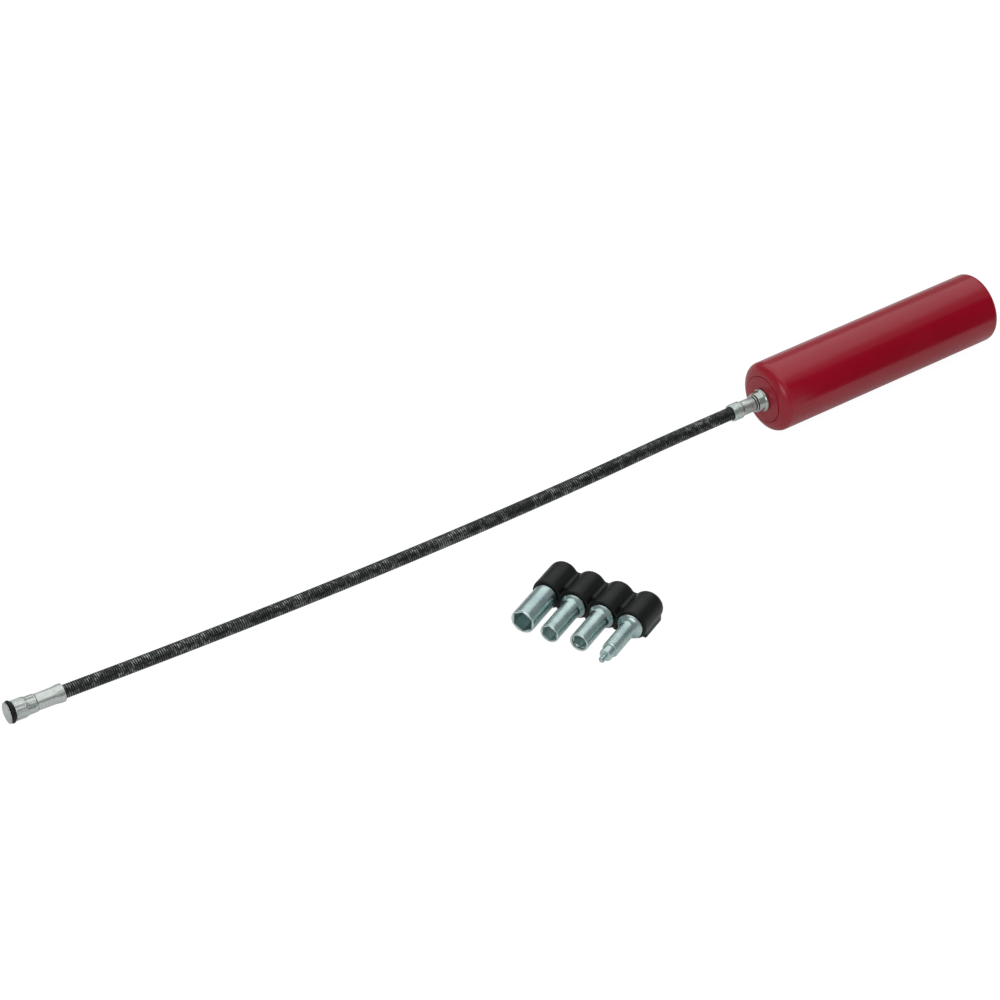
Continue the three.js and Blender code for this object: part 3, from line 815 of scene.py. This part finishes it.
def make_nose(zinc_finish):
    """The socket nose: flutes in front, slits behind them, a hexagonal hole inside."""
    outside = [(3.0, 3.4), (3.0, 4.05), (3.08, 4.25), (3.3, 4.38)]
    outside += [(s, 4.4) for s in np.arange(3.5, 7.5, 0.25)]
    outside += [(7.6, 4.38), (7.85, 4.32), (8.1, 4.24), (8.45, 4.12), (8.8, 4.03), (9.2, 3.95)]
    outside += [(s, 3.88) for s in np.arange(9.6, 12.5, 0.3)]
    outside += [(12.6, 3.86), (12.8, 3.78), (12.9, 3.6), (12.9, 2.45), (20.4, 2.45), (20.4, 1.65),
                (14.3, 1.65), (14.3, 0)]
    inside = [(12.5, 0), (12.5, 2.85), (3.4, 2.85), (3.0, 3.2)]

    def nearest_line(angles, count, turn, radius):
        """Distance along the surface to the nearest of evenly spaced lines."""
        spacing = 2 * math.pi / count
        return np.abs((angles - turn + spacing / 2) % spacing - spacing / 2) * radius

    def fluted(angles, station, radii):
        if 2.7 < radii[0] < 3.25 and station < 13:
            return hexagon_radius(angles, 2 * radii[0])
        if radii[0] < 3.5 or station > 12.85:
            return radii
        if station < 7.7:
            depth = FLUTE_DEPTH * min(1.0, max(0.0, (7.6 - station) / 0.4))
            off, width = nearest_line(angles, FLUTES, FLUTE_TURN, radii[0]), FLUTE_HALF_WIDTH
        else:
            depth = SLIT_DEPTH if 8.2 < station < 12.3 else 0.0
            off, width = nearest_line(angles, SLITS, SLIT_TURN, radii[0]), SLIT_HALF_WIDTH
        notch = 1 / (1 + np.exp(np.clip((off - width) / NOTCH_EDGE, -50, 50)))
        return radii - depth * notch

    verts, faces = revolve(inside + outside, 240, fluted)
    scaled = [nose_place @ (Vector(v) * MM) for v in verts]
    sleeve = add_piece("socket_nose", scaled, faces, zinc_finish, 40)
    stand_for(sleeve, "socket", "socket_sleeve")


def make_magnet_tip(bright, rubber):
    """The plain disc over the magnet and the rubber ring behind it."""
    cap = fillet([
        (0.05, 0), (0.01, 3.5, 0.2), (0.24, 4.25, 0.15), (0.42, 4.57, 0.1), (0.69, 4.57, 0.1), (0.69, 0),
    ])
    stand_for(turned_piece("magnet_cap", nose_place, cap, bright, 128),
              "magnet_tip", "pole_cap")
    turns = np.linspace(0, 2 * math.pi, 25)[:-1]
    ring = [(RING_STATION + RING_MINOR * math.sin(a), RING_MAJOR + RING_MINOR * math.cos(a))
            for a in turns]
    stand_for(turned_piece("rubber_ring", nose_place, ring, rubber, 96, closed=True),
              "magnet_tip", "tip_o_ring")


# ------------------------------------------------------------------ strip and tips
WALL = 6.76
STRIP_BACK = -16.6
WEB_GAP = 4.2
VOXEL = 0.00026
SOFTEN_FACTOR = 0.6
SOFTEN_PASSES = 34


def welded(piece):
    """The mesh of a piece after its overlapping bodies are fused and softened."""
    remesh = piece.modifiers.new("weld", "REMESH")
    remesh.mode = "VOXEL"
    remesh.voxel_size = VOXEL
    remesh.use_smooth_shade = True
    soften = piece.modifiers.new("soften", "SMOOTH")
    soften.factor = SOFTEN_FACTOR
    soften.iterations = SOFTEN_PASSES
    bpy.context.view_layer.update()
    evaluated = piece.evaluated_get(bpy.context.evaluated_depsgraph_get())
    finished = bpy.data.meshes.new_from_object(evaluated)
    piece.modifiers.clear()
    return finished


def make_strip(rubber):
    """A rubber moulding: four round pockets joined by webs on a flat base."""
    section = fillet([
        (-12.6, 0), (-12.6, 3.1, 0.3), (-0.4, 3.1), (-0.4, 4.7, 0.2), (0, 4.9, 0.2), (0, WALL, 0.6),
        (-17.96, WALL, 3.9), (-17.96, 0),
    ], 8)
    verts, faces = [], []
    for index in range(4):
        more, quads = revolve(section, 96)
        faces += [tuple(i + len(verts) for i in f) for f in quads]
        verts += [(v[0], v[1] + index * POCKET_PITCH, v[2]) for v in more]

    def block(low, high):
        corners = [(x, y, z) for x in (low[0], high[0]) for y in (low[1], high[1]) for z in (low[2], high[2])]
        quads = [(0, 1, 3, 2), (4, 6, 7, 5), (0, 4, 5, 1), (2, 3, 7, 6), (0, 2, 6, 4), (1, 5, 7, 3)]
        faces.extend(tuple(i + len(verts) for i in f) for f in quads)
        verts.extend(corners)

    for index in range(3):
        low = index * POCKET_PITCH + WEB_GAP
        high = (index + 1) * POCKET_PITCH - WEB_GAP
        block((-9, low, -WALL), (-1.2, high, 1.6))
        block((STRIP_BACK, low, -WALL), (-4.6, high, 3.5))
    block((STRIP_BACK, -5.8, -WALL), (-2.8, 3 * POCKET_PITCH + 5.8, -3.4))
    place = pocket_place(0)
    piece = add_piece("tip_strip_moulding", [place @ (Vector(v) * MM) for v in verts], faces, rubber)
    piece.data = welded(piece)
    for vertex in piece.data.vertices:
        vertex.co.z = max(vertex.co.z, FLOOR_HEIGHT)
    stand_for(piece, "tip_strip", "tip_holder")


SHANK = [(-12, 0), (-12, 2.4), (-11.6, 2.55), (-0.2, 2.55), (-0.2, 2.6)]
SHANK_CORNER = 2.88
TIP_SIDES = 120


def bore_section(end, across_flats, depth, lead, mouth):
    """The inside of a hexagonal socket, from its lip in. A round mouth may come first."""
    half = across_flats / 2
    lip = mouth or half
    points = [(end, lip + lead), (end - lead, lip)]
    if mouth:
        points += [(end - 1.1, mouth), (end - 1.4, half)]
    points += [(s, half) for s in np.linspace(end - 1.6, end - depth, 6)]
    return points + [(end - depth - 1.2, 0)]


def spare_tip(name, index, finish, outside, across_flats=0, depth=0, lead=0.3, ribs=None, mouth=None,
              glow=0.0):
    """A turned head, with a hexagonal socket where across_flats is given, on a hexagonal shank.

    ribs is (start, end, depth, pitch) of the machining marks. glow sets how much light is painted into the bore,
    as a lighter, rougher lining.
    """
    end = outside[-1][0]
    points = SHANK + outside
    bore_from = len(points)
    points += bore_section(end, across_flats, depth, lead, mouth) if across_flats else [(end + 0.01, 0)]
    order = {}
    for i, point in enumerate(points):
        order.setdefault((round(point[0], 6), round(point[1], 6)), i)

    def shaped(angles, station, radii):
        if station < -0.1:
            return hexagon_radius(angles, 2 * radii[0], 0, SHANK_CORNER)
        point_index = order[(round(station, 6), round(float(radii[0]), 6))]
        if across_flats and point_index >= bore_from and radii[0] > 0:
            if mouth and radii[0] >= mouth - 1e-6:
                return radii
            return hexagon_radius(angles, 2 * radii[0], 0)
        if ribs and ribs[0] < station < ribs[1]:
            return radii - ribs[2] * (0.5 + 0.5 * math.sin(station * 2 * math.pi / ribs[3]))
        return radii

    piece = turned_piece(name, pocket_place(index), points, finish, TIP_SIDES, shaped,
                         smooth=28)
    # The bore's vertices carry glow, the strength of the light painted into the bore.
    counts = [1 if radius < 1e-9 else TIP_SIDES for _, radius in points]
    inside = np.repeat([float(i > bore_from) for i in range(len(points))], counts)
    attribute = piece.data.attributes.new("bore", "FLOAT", "POINT")
    attribute.data.foreach_set("value", inside.astype(np.float32) * glow)
    return piece


def barrel(flange, radius, start, end, steps=60):
    """Outside of a head: a flange that sweeps down to a long barrel."""
    points = [(0.3, 2.6), (0.3, flange - 0.15), (0.45, flange), (1.2, flange), (1.35, flange - 0.12)]
    for t in np.linspace(0.1, 1, 8):
        points.append((1.35 + (start - 1.35) * t, radius + (flange - 0.12 - radius) * (1 - t) ** 2))
    points += [(s, radius) for s in np.linspace(start + 0.1, end - 0.35, steps)]
    points += [(end - 0.15, radius - 0.06), (end, radius - 0.25)]
    return points


BALL_MIDDLE = 25.25
BALL_RADIUS = 1.36


def make_tips():
    """The three spare sockets and the ball-ended pin, one to a pocket."""
    finish = zinc("tip_zinc", tip_axis, TIP_LIGHT, TIP_DARK, (0.22, 0.34), blue=TIP_BLUE, paints_bore_light=True)
    large = [(0.3, 2.6), (0.3, 5.15), (0.5, 5.4)] + [(s, 5.4) for s in np.linspace(0.8, 19.95, 60)]
    large += [(20.15, 5.34), (20.28, 5.15)]
    piece = spare_tip("large_socket", 0, finish, large, 8.2, 9, 0.25, ribs=(1, 19, 0.012, 0.7),
                      glow=0.35)
    stand_for(piece, "large_socket", "large_socket_tip")
    piece = spare_tip("medium_socket", 1, finish, barrel(5.5, 4.2, 3.4, 21.6), 6.3, 6,
                      ribs=(5, 19, 0.09, 1.0), glow=0.8)
    stand_for(piece, "medium_socket", "medium_socket_tip")
    piece = spare_tip("small_socket", 2, finish, barrel(5.5, 4.2, 3.4, 20.6), 5.8, 6.5, mouth=3.3,
                      ribs=(5, 15, 0.045, 0.9), glow=0.75)
    stand_for(piece, "small_socket", "small_socket_tip")
    nose = barrel(5.6, 3.5, 3.8, 18.5, 90)
    nose += [(18.6, 2.9), (18.75, 2.75), (22.2, 2.75), (22.5, 2.6), (22.75, 1.9), (22.85, 1.1), (24.2, 0.98)]
    nose += [(BALL_MIDDLE - BALL_RADIUS * math.cos(a), BALL_RADIUS * math.sin(a))
             for a in np.linspace(0.78, 3.0, 14)]
    piece = spare_tip("ball_pin", 3, finish, nose, ribs=(4.4, 17.8, 0.13, 1.0))
    stand_for(piece, "pin", "pin_tip")


# ------------------------------------------------------------------ carried-over CAD nodes
def give(node, material):
    """Sets the one material of a CAD node."""
    mesh = nodes[node].data
    mesh.materials.clear()
    mesh.materials.append(material)


def finish_cad_nodes(zinc_finish):
    """Materials for the CAD nodes inside the tool that are shown as they are."""
    cable = stranded("drive_cable", STEEL, (0.12, 0.12, 0.12))
    for k in range(1, LINKS + 1):
        give(f"cable_{k}", cable)
    give("cable_rear", cable)
    give("cable_anchor", machined("anchor_steel", STEEL, (0.3, 0.3, 0.3), 1.0, (0.35, 0.55)))
    give("drive_block", machined("bronze", (0.58, 0.4, 0.2), (0.4, 0.25, 0.12), 1.0, (0.3, 0.5)))
    give("magnet_core", machined("magnet_grey", (0.32, 0.32, 0.33), (0.2, 0.2, 0.21), 0.6, (0.4, 0.6)))
    give("ferrule_clip", zinc_finish)
    give("tip_shank", zinc_finish)


make_camera()
make_stage()
bpy.context.scene.view_settings.view_transform = "Standard"
tumbled_zinc = zinc("zinc_tumbled", (1, 0, 0), TUMBLED_LIGHT, TUMBLED_DARK, (0.3, 0.5), grain=820)
fitting_zinc = zinc("zinc", (1, 0, 0), FITTING_LIGHT, FITTING_DARK)
polished = nickel()
soft_black = black_rubber()
make_handle()
make_rear_fitting(tumbled_zinc, polished)
make_casing(black_wire())
make_crimped_body(fitting_zinc)
make_nose(fitting_zinc)
make_magnet_tip(polished, soft_black)
make_strip(soft_black)
make_tips()
finish_cad_nodes(fitting_zinc)
